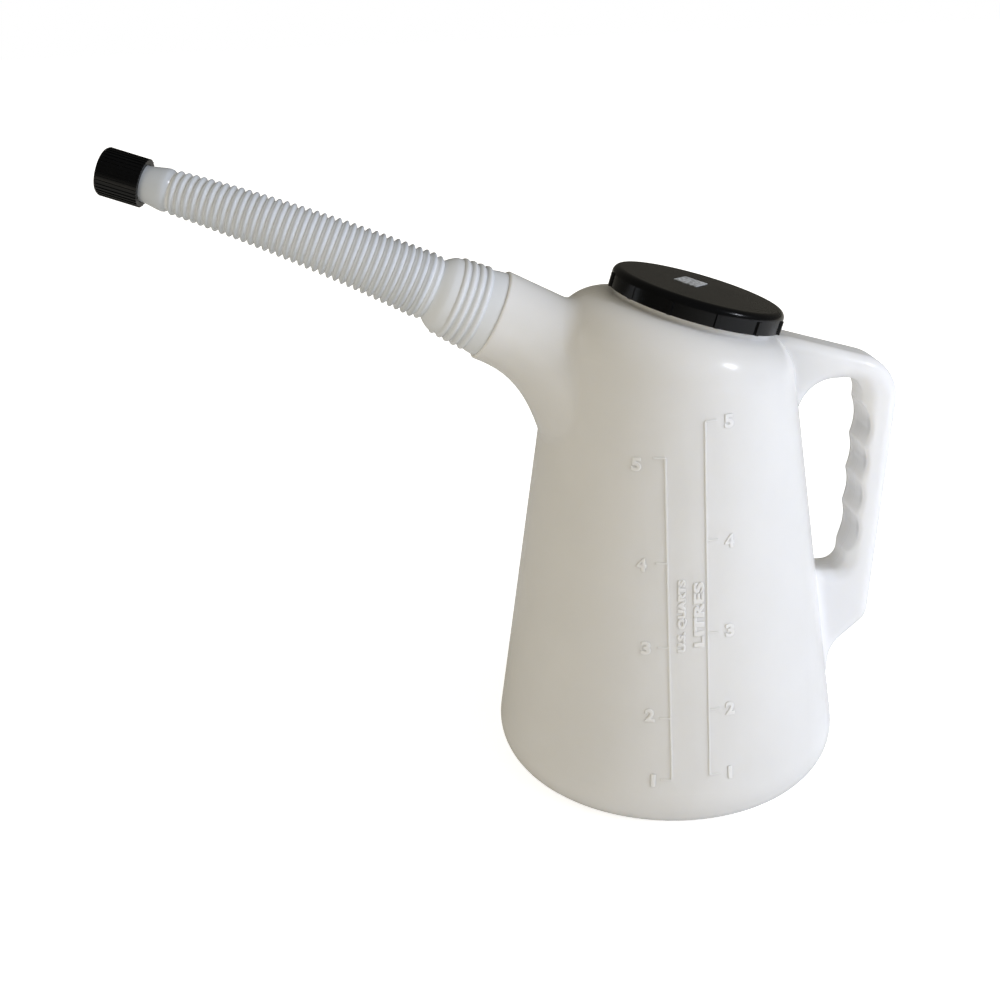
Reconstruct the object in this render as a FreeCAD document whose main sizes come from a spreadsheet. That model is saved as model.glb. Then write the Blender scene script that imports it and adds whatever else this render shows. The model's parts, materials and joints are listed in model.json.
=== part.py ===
import FreeCAD, Part
import math
import os
import Sketcher
from FreeCAD import Placement, Rotation, Vector

# A five litre oil measure. A blown jug with a hollow handle, a wide slanted
# filler and a spout neck is closed by a screwed lid, and a corrugated pouring
# spout with a small screwed cap fits the neck. The frame has +Z up, the axis of
# the jug on Z, the base on Z = 0, the spout towards -X and the handle towards +X.

os.makedirs("parts", exist_ok=True)
doc = FreeCAD.newDocument("oil_measure")

# ---------------------------------------------------------------- dimensions
# Lengths in millimetres, angles in degrees.

DIMENSIONS = [
    ("wall", 2.0, "wall of the blown jug"),
    ("cone_foot", 102.5, "radius of the cone carried down to the floor"),
    ("cone_slope", 0.145, "loss of radius for each unit of height"),
    ("base_corner", 24.0, "rounding between base and cone"),
    ("cone_top", 310.0, "height that the cone is carried up to before it is cut off"),
    ("lid_x", 16.4, "centre of the lid's top face"),
    ("lid_z", 283.0, "height of that centre"),
    ("lid_tilt", 16.5, "lean of the filler towards the handle"),
    ("lid_depth", 11.0, "height of the lid"),
    ("lid_gap", 3.2, "space between lid and shoulder"),
    ("lid_top", 2.4, "thickness of the lid's top"),
    ("lid_radius", 47.9, "outside of the lid's skirt"),
    ("lid_round", 4.0, "rounding of the lid's top edge"),
    ("lid_rib_radius", 49.0, "outside of the lid's grip ribs"),
    ("lid_rib_width", 3.6, "width of a grip rib"),
    ("lid_rib_count", 12, "grip ribs round the lid"),
    ("lid_rib_drop", 3.6, "depth of the ribs' tops below the lid's top"),
    ("lid_clearance", 0.4, "running clearance round the filler"),
    ("filler_radius", 44.0, "outside of the filler"),
    ("filler_bore", 41.4, "bore of the filler"),
    ("shoulder_round", 26.0, "rounding between cone and sloping top"),
    ("lid_seal_thick", 1.6, "thickness of the lid's seal"),
    ("lid_seal_bore", 37.0, "hole in the lid's seal"),
    ("seal_slack", 0.1, "free play over a seal, a washer and a liner"),
    ("label_length", 21.0, "sticker on the lid"),
    ("label_width", 13.2, "width of the sticker"),
    ("label_thick", 0.3, "thickness of the sticker"),
    ("label_x", -2.8, "place of the sticker along the slope"),
    ("label_y", 9.1, "place of the sticker across the slope"),
    ("label_turn", 57.0, "turn of the sticker on the lid"),
    ("neck_x", -98.1, "centre of the spout neck's end face"),
    ("neck_z", 275.1, "height of that centre"),
    ("neck_tilt", 27.5, "rise of the spout neck above level"),
    ("neck_radius", 24.9, "outside of the spout neck"),
    ("neck_round", 1.2, "rounding of the neck's end face"),
    ("neck_blend", 10.0, "blend between neck and shoulder"),
    ("foot_blend", 7.0, "blend between the handle's foot and the cone"),
    ("cusp_round", 4.0, "rounding between the finger grooves"),
    ("filler_blend", 1.6, "blend round the filler"),
    ("spigot_radius", 19.7, "outside of the spigot under the cuff"),
    ("spigot_bore", 17.7, "bore of the spigot"),
    ("spigot_length", 21.8, "length of the spigot"),
    ("handle_width", 29.0, "width of the handle across the jug"),
    ("handle_edge", 7.0, "rounding along the handle's edges"),
    ("handle_wall", 2.2, "wall of the handle"),
    ("arm_high_x", 40.0, "start of the top arm inside the jug"),
    ("arm_high_z", 258.0, "height of that start"),
    ("arm_edge_x", 64.0, "where the top arm comes out of the shoulder"),
    ("arm_edge_z", 254.5, "height of that place"),
    ("grip_high_x", 129.6, "outer corner over the grip"),
    ("grip_high_z", 234.5, "height of that corner"),
    ("grip_high_round", 27.0, "rounding of that corner"),
    ("grip_low_x", 120.1, "outer corner under the grip"),
    ("grip_low_z", 80.9, "height of that corner"),
    ("grip_low_round", 12.0, "rounding of that corner"),
    ("foot_x", 98.8, "corner where the handle turns down along the cone"),
    ("foot_z", 62.4, "height of that corner"),
    ("foot_round", 20.0, "rounding of that inner corner"),
    ("foot_end_x", 97.2, "end of the handle in the cone"),
    ("foot_end_z", 34.0, "height of that end"),
    ("buried", 0.8, "depth of the handle's root in the cone"),
    ("hand_low_x", 105.2, "inner side of the grip at the hole's floor"),
    ("hand_low_z", 111.3, "floor of the hand hole"),
    ("hand_low_round", 8.0, "rounding at the floor of the hole"),
    ("hand_high_x", 109.6, "inner side of the grip at the hole's roof"),
    ("hand_high_z", 229.0, "roof of the hand hole"),
    ("hand_high_round", 12.0, "rounding at the roof of the hole"),
    ("hand_root_round", 20.0, "rounding between roof and cone"),
    ("groove_radius", 24.0, "radius of a finger groove"),
    ("groove_count", 4, "finger grooves in the grip"),
    ("groove_low_x", 110.9, "floor of the lowest groove"),
    ("groove_low_z", 137.1, "height of the lowest groove"),
    ("groove_step_x", 0.8, "step between grooves, outwards"),
    ("groove_step_z", 20.8, "step between grooves, upwards"),
    ("scale_relief", 0.5, "height of the raised scales"),
    ("scale_line", 1.0, "width of a scale's line"),
    ("litre_x", 1.85, "place of the litre scale"),
    ("quart_x", -18.7, "place of the quart scale"),
    ("tick_length", 6.0, "length of a scale's tick"),
    ("cuff_length", 35.4, "open end of the cuff behind the first ring"),
    ("hose_rings", 36, "rings of the corrugated spout"),
    ("hose_pitch", 3.922, "distance between the rings"),
    ("hose_first", 17.5, "radius of the first ring, next to the cuff"),
    ("hose_big", 18.15, "radius that the rings' taper starts from"),
    ("hose_small", 11.55, "radius of the last ring"),
    ("hose_groove", 2.15, "depth between the rings"),
    ("hose_wall", 1.1, "wall of the spout, measured across its axis"),
    ("hose_bend", 17.1, "angle that the spout is bent through"),
    ("hose_roll", 33.5, "turn of the bend from level"),
    ("cuff_bore", 20.1, "bore of the cuff"),
    ("cuff_ridge", 23.1, "radius of the cuff's first ridge, at its open end"),
    ("cuff_ridge_pitch", 4.2, "distance between the cuff's ridges"),
    ("cuff_ridge_count", 4, "ridges round the cuff"),
    ("cuff_ridge_drop", 0.46, "loss of radius from one ridge to the next"),
    ("cuff_ridge_height", 1.15, "height of a ridge over its foot"),
    ("cuff_ridge_start", 25.9, "first ridge behind the first ring of the hose"),
    ("cuff_gap", 0.6, "space between the cuff and the neck's end face"),
    ("cuff_seat", 12.2, "depth of the washer's seat behind the first ring"),
    ("tip_radius", 9.4, "outside of the tip under its cap"),
    ("tip_bore", 8.2, "bore of the tip"),
    ("washer_thick", 2.0, "thickness of the spout's washer"),
    ("washer_bore", 16.5, "hole in the spout's washer"),
    ("cap_start", 17.1, "open end of the cap beyond the last ring"),
    ("cap_length", 23.0, "length of the cap"),
    ("cap_radius", 12.2, "outside of the cap between its ribs"),
    ("cap_bore", 9.8, "bore of the cap"),
    ("cap_end", 1.3, "thickness of the cap's end"),
    ("cap_rib", 0.45, "height of the cap's ribs"),
    ("cap_rib_width", 0.9, "width of the cap's ribs"),
    ("cap_rib_count", 36, "ribs round the cap"),
    ("cap_round", 1.5, "rounding of the cap's closed end"),
    ("liner_thick", 1.2, "thickness of the liner in the cap"),
]

sheet = doc.addObject("Spreadsheet::Sheet", "dims")
for row, (alias, value, note) in enumerate(DIMENSIONS, start=1):
    sheet.set(f"A{row}", alias)
    sheet.set(f"B{row}", str(value))
    sheet.setAlias(f"B{row}", alias)
    sheet.set(f"C{row}", note)
doc.recompute()


def size(expression):
    """Value of an expression in the sheet's aliases."""
    result = sheet.evalExpression(expression)
    return float(getattr(result, "Value", result))


def bound(expression):
    """The same expression, written for an object outside the sheet."""
    words = []
    word = ""
    for letter in expression + " ":
        if letter.isalnum() or letter == "_":
            word += letter
            continue
        words.append("dims." + word if word in ALIASES else word)
        words.append(letter)
        word = ""
    return "".join(words).strip()


ALIASES = {alias for alias, value, note in DIMENSIONS}


def bind(item, **expressions):
    """Bind properties of an object to expressions in the sheet's aliases."""
    for name, expression in expressions.items():
        item.setExpression(name.replace("__", "."), bound(expression))


def polygon(sketch, corners):
    """Closed outline whose corners are bound to the sheet."""
    places = [Vector(size(across), size(up), 0) for across, up in corners]
    count = len(places)
    first = sketch.GeometryCount
    for i in range(count):
        line = Part.LineSegment(places[i], places[(i + 1) % count])
        sketch.addGeometry(line, False)
    for i in range(count):
        following = first + (i + 1) % count
        sketch.addConstraint(Sketcher.Constraint("Coincident", first + i, 2, following, 1))
    for i, (across, up) in enumerate(corners):
        for kind, expression, value in (
            ("DistanceX", across, places[i].x),
            ("DistanceY", up, places[i].y),
        ):
            index = sketch.addConstraint(Sketcher.Constraint(kind, -1, 1, first + i, 1, value))
            sketch.setExpression(f"Constraints[{index}]", bound(expression))


def origin_plane(body, role):
    return next(item for item in body.Origin.OriginFeatures if item.Role == role)


def new_body(name):
    body = doc.addObject("PartDesign::Body", name)
    body.Label = name
    return body


def body_sketch(body, name, role="XZ_Plane"):
    sketch = body.newObject("Sketcher::SketchObject", name)
    sketch.AttachmentSupport = [(origin_plane(body, role), "")]
    sketch.MapMode = "FlatFace"
    return sketch


def revolved(body, name, corners):
    """Solid of revolution about the body's own Z axis."""
    sketch = body_sketch(body, name + "_profile", "YZ_Plane")
    polygon(sketch, corners)
    feature = body.newObject("PartDesign::Revolution", name)
    feature.Profile = sketch
    feature.ReferenceAxis = (sketch, ["V_Axis"])
    feature.Angle = 360
    doc.recompute()
    return feature


def dress(body, kind, name, wanted, expression):
    """Round the edges of a body's tip that a test picks out."""
    base = body.Tip
    edges = [f"Edge{i}" for i, edge in enumerate(base.Shape.Edges, start=1) if wanted(edge)]
    feature = body.newObject("PartDesign::" + kind, name)
    feature.Base = (base, edges)
    bind(feature, **{"Radius" if kind == "Fillet" else "Size": expression})
    doc.recompute()
    return feature


def ring_edge(radius, height):
    """Test for a full circle about Z with this radius at this height."""
    def wanted(edge):
        curve = edge.Curve
        if not isinstance(curve, Part.Circle) or len(edge.Vertexes) > 1:
            return False
        return abs(curve.Radius - radius) < 0.01 and abs(curve.Center.z - height) < 0.01
    return wanted


# ----------------------------------------------------------------- directions
# The filler leans over the handle; the spout neck rises over the other side.

LID_AXIS = Vector(math.sin(math.radians(size("lid_tilt"))), 0, math.cos(math.radians(size("lid_tilt"))))
LID_TURN = Rotation(Vector(0, 1, 0), size("lid_tilt"))
LID_CENTRE = Vector(size("lid_x"), 0, size("lid_z"))

NECK_RISE = math.radians(size("neck_tilt"))
NECK_AXIS = Vector(-math.cos(NECK_RISE), 0, math.sin(NECK_RISE))
NECK_FACE = Vector(size("neck_x"), 0, size("neck_z"))
NECK_TURN = Rotation(Vector(0, 1, 0), size("neck_tilt - 90"))


def lid_place(depth):
    """Placement on the filler's axis, below the lid's top face."""
    return Placement(LID_CENTRE - LID_AXIS * depth, LID_TURN)


def neck_place(distance):
    """Placement on the spout neck's axis, beyond the neck's end face."""
    return Placement(NECK_FACE + NECK_AXIS * distance, NECK_TURN)


# --------------------------------------------------------------------- the jug
# The outer form and the hollow inside it are made the same way, the hollow
# smaller by the wall, and the one is cut from the other.

def section(name, radius, place):
    circle = doc.addObject("Part::Circle", name)
    bind(circle, Radius=radius)
    circle.Placement = place * Placement(Vector(), Rotation(Vector(0, 0, 1), 90))
    return circle


def loft(name, sections, ruled=False):
    item = doc.addObject("Part::Loft", name)
    item.Sections = sections
    item.Solid = True
    item.Ruled = ruled
    item.Closed = False
    return item


def drum(name, radius, height, place):
    item = doc.addObject("Part::Cylinder", name)
    bind(item, Radius=radius, Height=height)
    item.Placement = place
    return item


def slope_at(across, inset):
    """Height of the sloping shoulder at a place along X."""
    depth = f"(lid_depth + lid_gap + {inset})"
    return f"lid_z - {depth} / cos(lid_tilt) - ({across} - lid_x) * tan(lid_tilt)"


def tank(name, inset):
    """The round body: a cone with a rounded base, its top cut off on a slope."""
    body = new_body(name)
    foot = f"cone_foot - cone_slope * {inset} - {inset}"
    revolved(body, name + "_turned", [
        ("0", inset),
        (foot, inset),
        (f"cone_foot - cone_slope * cone_top - {inset}", "cone_top"),
        ("0", "cone_top"),
    ])
    dress(body, "Fillet", name + "_corner", ring_edge(size(foot), size(inset)), f"base_corner - {inset}")
    sketch = body_sketch(body, name + "_slope")
    polygon(sketch, [
        ("-cone_foot", slope_at("(-cone_foot)", inset)),
        ("cone_foot", slope_at("cone_foot", inset)),
        ("cone_foot", "cone_top * 1.2"),
        ("-cone_foot", "cone_top * 1.2"),
    ])
    pocket = body.newObject("PartDesign::Pocket", name + "_sliced")
    pocket.Profile = sketch
    pocket.Type = "ThroughAll"
    pocket.SideType = "Symmetric"
    doc.recompute()

    def rim(edge):
        return edge.BoundBox.XLength > 80 and edge.BoundBox.ZLength > 20 and edge.BoundBox.ZMin > 200

    dress(body, "Fillet", name + "_shoulder", rim, f"shoulder_round - {inset}")
    return body


def neck(name, inset):
    """The spout neck, which opens out below where it runs into the jug."""
    circles = []
    for i, depth in enumerate((0.0, 12.0, 24.0, 36.0, 48.0, 60.0)):
        if i == 0:
            depth = inset
        above = size("neck_radius") - 0.01 * depth
        below = size("neck_radius") + 0.012 * max(depth - 9.0, 0.0) ** 2
        place = neck_place(-depth)
        place.Base = place.Base + place.Rotation.multVec(Vector(1, 0, 0)) * ((above - below) / 2)
        circles.append(section(f"{name}_{i}", f"{(above + below) / 2} - {inset}", place))
    return loft(name, circles)


jug_tank = tank("tank", "0")
jug_neck = neck("neck", 0)
# The handle is a flat hollow loop with rounded edges.

def slab(name, outline, hole, half, edge, rounds):
    """A plate across the jug, its corners and then its edges rounded."""
    body = new_body(name)
    sketch = body_sketch(body, name + "_outline")
    polygon(sketch, outline)
    polygon(sketch, hole)
    pad = body.newObject("PartDesign::Pad", name + "_pad")
    pad.Profile = sketch
    pad.SideType = "Symmetric"
    bind(pad, Length=f"({half}) * 2")
    doc.recompute()
    for i, (across, up, radius) in enumerate(rounds, start=1):
        corner = Vector(size(across), 0, size(up))

        def wanted(line):
            ends = [vertex.Point for vertex in line.Vertexes]
            return all(Vector(end.x, 0, end.z).distanceToPoint(corner) < 0.01 for end in ends)

        dress(body, "Fillet", f"{name}_corner_{i}", wanted, radius)

    def rim(line):
        middle = line.valueAt((line.FirstParameter + line.LastParameter) / 2)
        if abs(abs(middle.y) - size(half)) > 0.01:
            return False
        return middle.x > size("cone_foot - buried / 2") - size("cone_slope") * middle.z

    dress(body, "Fillet", name + "_edges", rim, edge)
    return body


CONE_AT = "cone_foot - cone_slope * ({}) - buried"
OUTER = [
    ("arm_high_x", "arm_high_z"),
    ("arm_edge_x", "arm_edge_z"),
    ("grip_high_x", "grip_high_z"),
    ("grip_low_x", "grip_low_z"),
    ("foot_x", "foot_z"),
    ("foot_end_x", "foot_end_z"),
    ("arm_high_x", "foot_end_z"),
]
HOLE = [
    (CONE_AT.format("hand_low_z"), "hand_low_z"),
    ("hand_low_x", "hand_low_z"),
    ("hand_high_x", "hand_high_z"),
    (CONE_AT.format("hand_high_z"), "hand_high_z"),
]
handle_slab = slab("handle", OUTER, HOLE, "handle_width / 2", "handle_edge", [
    OUTER[1] + ("grip_high_round",),
    OUTER[2] + ("grip_high_round",),
    OUTER[3] + ("grip_low_round",),
    OUTER[4] + ("foot_round",),
    HOLE[1] + ("hand_low_round",),
    HOLE[2] + ("hand_high_round",),
    HOLE[3] + ("hand_root_round",),
])

INNER = [
    ("arm_high_x", "arm_high_z - handle_wall * 1.05"),
    ("arm_edge_x", "arm_edge_z - handle_wall * 1.05"),
    ("grip_high_x - handle_wall * 1.05", "grip_high_z - handle_wall * 0.73"),
    ("grip_low_x - handle_wall", "grip_low_z + handle_wall * 0.46"),
    ("foot_x - handle_wall * 7.7", "foot_z - handle_wall * 5.2"),
    ("arm_high_x", "foot_z - handle_wall * 5.2"),
]
INNER_HOLE = [
    (CONE_AT.format("hand_low_z") + " - wall", "hand_low_z - handle_wall"),
    ("hand_low_x + handle_wall + 3.4", "hand_low_z - handle_wall"),
    ("hand_high_x + handle_wall + 3.4", "hand_high_z + handle_wall"),
    (CONE_AT.format("hand_high_z") + " - wall", "hand_high_z + handle_wall"),
]
CHANNEL_HALF = "handle_width / 2 - handle_wall"
CHANNEL_EDGE = "handle_edge - handle_wall - 1.2"
channel = slab("channel", INNER, INNER_HOLE, CHANNEL_HALF, CHANNEL_EDGE, [
    INNER[1] + ("grip_high_round",),
    INNER[2] + ("grip_high_round - handle_wall",),
    INNER[3] + ("grip_low_round - handle_wall",),
    INNER_HOLE[1] + ("hand_low_round + handle_wall",),
    INNER_HOLE[2] + ("hand_high_round + handle_wall",),
    INNER_HOLE[3] + ("hand_root_round + handle_wall",),
])

LYING = Rotation(Vector(1, 0, 0), 90)
fingers = []
for i in range(int(size("groove_count"))):
    across = f"groove_low_x + groove_step_x * {i} - groove_radius"
    up = f"groove_low_z + groove_step_z * {i}"
    finger = doc.addObject("Part::Cylinder", f"finger_{i + 1}")
    finger.Placement = Placement(Vector(0, size("handle_width / 2 + 1"), 0), LYING)
    bind(finger, Radius="groove_radius", Height="handle_width + 2")
    bind(finger, Placement__Base__x=across, Placement__Base__z=up)
    fingers.append(finger)


def fused(name, items):
    item = doc.addObject("Part::MultiFuse", name)
    item.Shapes = items
    item.Refine = False
    return item


def cut(name, base, tool):
    item = doc.addObject("Part::Cut", name)
    item.Base = base
    item.Tool = tool
    item.Refine = False
    return item


def joined(name, items):
    """Fuse one after another, which is steadier than all at once."""
    whole = items[0]
    for i, item in enumerate(items[1:], start=1):
        pair = doc.addObject("Part::Fuse", f"{name}_{i}")
        pair.Base = whole
        pair.Tool = item
        pair.Refine = False
        whole = pair
    return whole


grip = cut("grip", handle_slab, fused("fingers", fingers))
doc.recompute()
FILLER_HEIGHT = "lid_depth + lid_gap + 3 - lid_top - lid_seal_thick"
filler = drum("filler", "filler_radius", FILLER_HEIGHT, lid_place(size("lid_depth + lid_gap + 3")))
bore_place = lid_place(size("lid_depth + lid_gap + 8"))
filler_bore = drum("filler_bore_tool", "filler_bore", "lid_depth + 20", bore_place)
spigot = drum("spigot", "spigot_radius", "spigot_length + 4", neck_place(-4))
spigot_bore = drum("spigot_bore_tool", "spigot_bore", "spigot_length + 14", neck_place(-8))
outside = joined("outside", [jug_tank, jug_neck, grip, filler, spigot])
doc.recompute()


def shared(edge, first, second):
    """True where an edge lies on the skins of two of the fused forms."""
    start, end = edge.FirstParameter, edge.LastParameter
    points = [Part.Vertex(edge.valueAt(start + (end - start) * share)) for share in (0.0, 0.5, 1.0)]
    skins = (first.Shape.Shells[0], second.Shape.Shells[0])
    return all(point.distToShape(skin)[0] < 0.02 for point in points for skin in skins)


def blend_radius(edge):
    """Rounding for an edge of the fused outside, or zero."""
    if edge.Length < 1:
        return 0
    if shared(edge, jug_neck, jug_tank):
        return size("neck_blend")
    if shared(edge, jug_neck, spigot):
        return 0
    if shared(edge, grip, jug_tank):
        return size("foot_blend") if edge.BoundBox.ZMax < size("hand_high_z / 2") else 0
    if shared(edge, filler, jug_tank):
        return size("filler_blend")
    box = edge.BoundBox
    if isinstance(edge.Curve, Part.Line) and box.XLength < 0.01 and box.ZLength < 0.01:
        return size("cusp_round") if 24 < box.YLength < 27 else 0
    at_end = abs(box.YLength - 2 * size("neck_radius")) < 1 and box.XMax < size("neck_x + 15")
    return size("neck_round") if at_end and not isinstance(edge.Curve, Part.Circle) else 0


blends = doc.addObject("Part::Fillet", "outside_blended")
blends.Base = outside
chosen = []
for i, edge in enumerate(outside.Shape.Edges, start=1):
    radius = blend_radius(edge)
    if radius:
        chosen.append((i, radius, radius))
blends.Edges = chosen
doc.recompute()
cavity = tank("cavity", "wall")
cavity_neck = neck("cavity_neck", size("wall"))
hollow = joined("hollow", [cavity, cavity_neck, channel, filler_bore, spigot_bore])
doc.recompute()

# Raised scales on the front: a line and its ticks, cut from a slightly larger
# cone so that they follow the wall.
LITRES = [38.6, 76.0, 118.6, 168.6, 230.7]
QUARTS = [36.7, 71.8, 111.3, 157.1, 212.4]


def bar(name, left, low, wide, high):
    item = doc.addObject("Part::Box", name)
    item.Placement = Placement(Vector(0, -110, low), Rotation())
    bind(item, Length=wide, Placement__Base__x=left)
    item.Width = 110
    item.Height = high
    return item


scales = []
for name, marks, place, step in (
    ("litre", LITRES, "litre_x", "0"),
    ("quart", QUARTS, "quart_x", "-tick_length"),
):
    tall = marks[-1] - marks[0]
    line = bar(name + "_line", f"{place} - scale_line / 2", marks[0], "scale_line", tall)
    scales.append(line)
    for i, mark in enumerate(marks, start=1):
        thick = size("scale_line")
        scales.append(bar(f"{name}_tick_{i}", f"{place} + {step}", mark - thick / 2, "tick_length", thick))
skin = doc.addObject("Part::Cone", "scale_skin")
SKIN_TOP = "cone_foot + scale_relief - cone_slope * 240"
bind(skin, Radius1="cone_foot + scale_relief", Radius2=SKIN_TOP, Height="240")
raised = doc.addObject("Part::MultiCommon", "scale_relief_bars")
raised.Shapes = [skin, fused("scale_bars", scales)]
doc.recompute()
jug = cut("jug_body", joined("outside_with_scales", [blends, raised]), hollow)
doc.recompute()

# ----------------------------------------------------------- the lid's parts
lid = new_body("filler_lid")
revolved(lid, "lid_turned", [
    ("0", "0"),
    ("lid_radius", "0"),
    ("lid_radius", "-lid_depth"),
    ("filler_radius + lid_clearance", "-lid_depth"),
    ("filler_radius + lid_clearance", "-lid_top"),
    ("0", "-lid_top"),
])
dress(lid, "Fillet", "lid_edge", ring_edge(size("lid_radius"), 0), "lid_round")
rib_outline = body_sketch(lid, "lid_rib_outline", "XY_Plane")
polygon(rib_outline, [
    ("lid_radius - 1", "-lid_rib_width / 2"),
    ("lid_rib_radius", "-lid_rib_width / 2 + 0.8"),
    ("lid_rib_radius", "lid_rib_width / 2 - 0.8"),
    ("lid_radius - 1", "lid_rib_width / 2"),
])
bind(rib_outline, AttachmentOffset__Base__z="-lid_rib_drop")
rib = lid.newObject("PartDesign::Pad", "lid_rib")
rib.Profile = rib_outline
rib.Reversed = True
bind(rib, Length="lid_depth - lid_rib_drop")
cap_off = lid.newObject("PartDesign::PolarPattern", "lid_ribs")
cap_off.Originals = [rib]
cap_off.Axis = (rib_outline, ["N_Axis"])
cap_off.Angle = 360
bind(cap_off, Occurrences="lid_rib_count")
lid.Tip = cap_off
doc.recompute()
lid.Placement = lid_place(0) * Placement(Vector(), Rotation(Vector(0, 0, 1), -2))

seal = new_body("lid_seal")
revolved(seal, "lid_seal_turned", [
    ("lid_seal_bore", "0"),
    ("filler_radius", "0"),
    ("filler_radius", "lid_seal_thick - seal_slack"),
    ("lid_seal_bore", "lid_seal_thick - seal_slack"),
])
seal.Placement = lid_place(size("lid_top + lid_seal_thick"))

label = doc.addObject("Part::Box", "lid_label")
bind(label, Length="label_length", Width="label_width", Height="label_thick")
label_turned = Rotation(Vector(0, 0, 1), size("label_turn"))
label_place = Placement(Vector(size("label_x"), size("label_y"), 0), label_turned)
label_corner = Placement(Vector(-size("label_length / 2"), -size("label_width / 2"), 0), Rotation())
label.Placement = lid_place(0) * label_place * label_corner

# --------------------------------------------------------- the pouring spout
# Circles follow a straight cuff, a bent run of rings and a straight tip. One
# skin over the outer circles and one over the inner ones make the blown wall.

PITCH = size("hose_pitch")
RINGS = int(size("hose_rings"))
RUN = PITCH * (RINGS - 1)
BEND = RUN / math.radians(size("hose_bend"))
TIP_END = size("cap_start + cap_length - cap_end - liner_thick")
SPOUT_PLACE = neck_place(size("cuff_length + cuff_gap"))
SPOUT_PLACE = SPOUT_PLACE * Placement(Vector(), Rotation(Vector(0, 0, 1), 90 + size("hose_roll")))


def along(distance):
    """Placement on the spout's centre line, measured from the first ring."""
    bent = min(max(distance, 0.0), RUN)
    angle = bent / BEND
    direction = Vector(math.sin(angle), 0, math.cos(angle))
    point = Vector(BEND * (1 - math.cos(angle)), 0, BEND * math.sin(angle))
    return Placement(point + direction * (distance - bent), Rotation(Vector(0, 1, 0), math.degrees(angle)))


def skin_over(stations):
    """Solid over circles given as distance along the centre line and radius."""
    wires = []
    for distance, radius in stations:
        wire = Part.Wire(Part.makeCircle(radius))
        wire.Placement = along(distance)
        wires.append(wire)
    return Part.makeLoft(wires, True, True)


def ring_radius(number):
    share = number / (RINGS - 1)
    return size("hose_big") + share * (size("hose_small") - size("hose_big"))


GROOVE = size("hose_groove")
WALL = size("hose_wall")
outer_skin = [(-size("cuff_length"), 22.9), (-34.6, 23.3), (-31.0, 22.8), (-28.2, 22.0)]
for k in range(int(size("cuff_ridge_count"))):
    middle = size("cuff_ridge_pitch") * k - size("cuff_ridge_start")
    crest = size("cuff_ridge") - size("cuff_ridge_drop") * k
    outer_skin += [(middle - 0.5, crest), (middle + 0.5, crest)]
    outer_skin.append((middle + size("cuff_ridge_pitch / 2"), crest - size("cuff_ridge_height")))
outer_skin += [(-8.6, 20.3), (-7.2, 19.7), (-5.7, 18.75), (-3.3, 16.8), (-2.2, 15.8)]
inner_skin = [(-size("cuff_length") - 1, size("cuff_bore")), (-size("cuff_seat"), size("cuff_bore"))]
inner_skin += [(-size("cuff_seat") + 0.01, 19.5), (-8.6, 19.1), (-5.7, 17.5), (-2.2, 14.7)]
for k in range(RINGS):
    crest = ring_radius(k) if k else size("hose_first")
    outer_skin += [(k * PITCH - 0.35, crest), (k * PITCH + 0.35, crest)]
    inner_skin.append((k * PITCH, crest - WALL))
    if k < RINGS - 1:
        valley = ring_radius(k + 0.5) - GROOVE
        outer_skin.append(((k + 0.5) * PITCH, valley))
        inner_skin.append(((k + 0.5) * PITCH, valley - WALL))
tip = size("tip_radius")
outer_skin += [(RUN + 2.2, 9.5), (RUN + 4.3, 11.0), (RUN + 5.6, 11.2)]
outer_skin += [(RUN + 12.0, 10.1), (RUN + 16.0, tip), (RUN + TIP_END, tip)]
inner_skin += [(RUN + 2.2, 8.4), (RUN + 5.2, 10.0), (RUN + 12.0, 8.9)]
inner_skin += [(RUN + 16.0, size("tip_bore")), (RUN + TIP_END + 1, size("tip_bore"))]
spout = doc.addObject("Part::Feature", "flexible_spout")
spout.Shape = skin_over(outer_skin).cut(skin_over(inner_skin))
spout.Placement = SPOUT_PLACE

washer = new_body("spout_washer")
revolved(washer, "spout_washer_turned", [
    ("washer_bore", "0"),
    ("spigot_radius", "0"),
    ("spigot_radius", "washer_thick - seal_slack"),
    ("washer_bore", "washer_thick - seal_slack"),
])
washer.Placement = neck_place(size("spigot_length"))

cap = new_body("spout_cap")
revolved(cap, "cap_turned", [
    ("cap_bore", "0"),
    ("cap_radius", "0"),
    ("cap_radius", "cap_length"),
    ("0", "cap_length"),
    ("0", "cap_length - cap_end"),
    ("cap_bore", "cap_length - cap_end"),
])
dress(cap, "Fillet", "cap_edge", ring_edge(size("cap_radius"), size("cap_length")), "cap_round")
cap_outline = body_sketch(cap, "cap_rib_outline", "XY_Plane")
polygon(cap_outline, [
    ("cap_radius - 0.6", "-cap_rib_width / 2"),
    ("cap_radius + cap_rib", "-cap_rib_width / 4"),
    ("cap_radius + cap_rib", "cap_rib_width / 4"),
    ("cap_radius - 0.6", "cap_rib_width / 2"),
])
cap_rib = cap.newObject("PartDesign::Pad", "cap_rib_pad")
cap_rib.Profile = cap_outline
bind(cap_rib, Length="cap_length - cap_round")
cap_ribs = cap.newObject("PartDesign::PolarPattern", "cap_ribs")
cap_ribs.Originals = [cap_rib]
cap_ribs.Axis = (cap_outline, ["N_Axis"])
cap_ribs.Angle = 360
bind(cap_ribs, Occurrences="cap_rib_count")
cap.Tip = cap_ribs
doc.recompute()
cap.Placement = SPOUT_PLACE * along(RUN + size("cap_start"))

liner = doc.addObject("Part::Cylinder", "cap_liner")
bind(liner, Radius="cap_bore - 0.1", Height="liner_thick - seal_slack")
liner.Placement = SPOUT_PLACE * along(RUN + TIP_END)

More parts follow.
